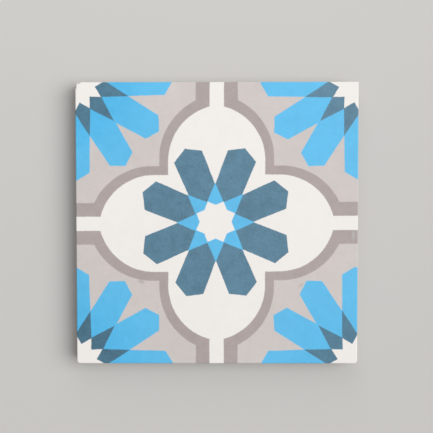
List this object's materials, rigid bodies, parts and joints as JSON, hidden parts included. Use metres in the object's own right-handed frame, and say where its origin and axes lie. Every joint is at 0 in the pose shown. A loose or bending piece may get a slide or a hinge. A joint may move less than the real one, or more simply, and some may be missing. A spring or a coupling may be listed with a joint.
{
  "type": "encaustic cement tile",
  "caption": "Square pressed cement floor or wall tile, its face a flush pigment inlay of a star rosette in a quatrefoil with quarter rosettes at the corners, its back keyed for mortar.",
  "frame": {"origin": "middle of the back, in the plane that the tile rests on", "axes": "+Z out of the patterned face, +X to the right and +Y to the top of the picture"},
  "size_m": [0.2, 0.2, 0.016],
  "materials": {
    "tile": "matte pressed cement with a pigmented face"
  },
  "bodies": {
    "root": {"tile": "tile"}
  },
  "joints": []
}
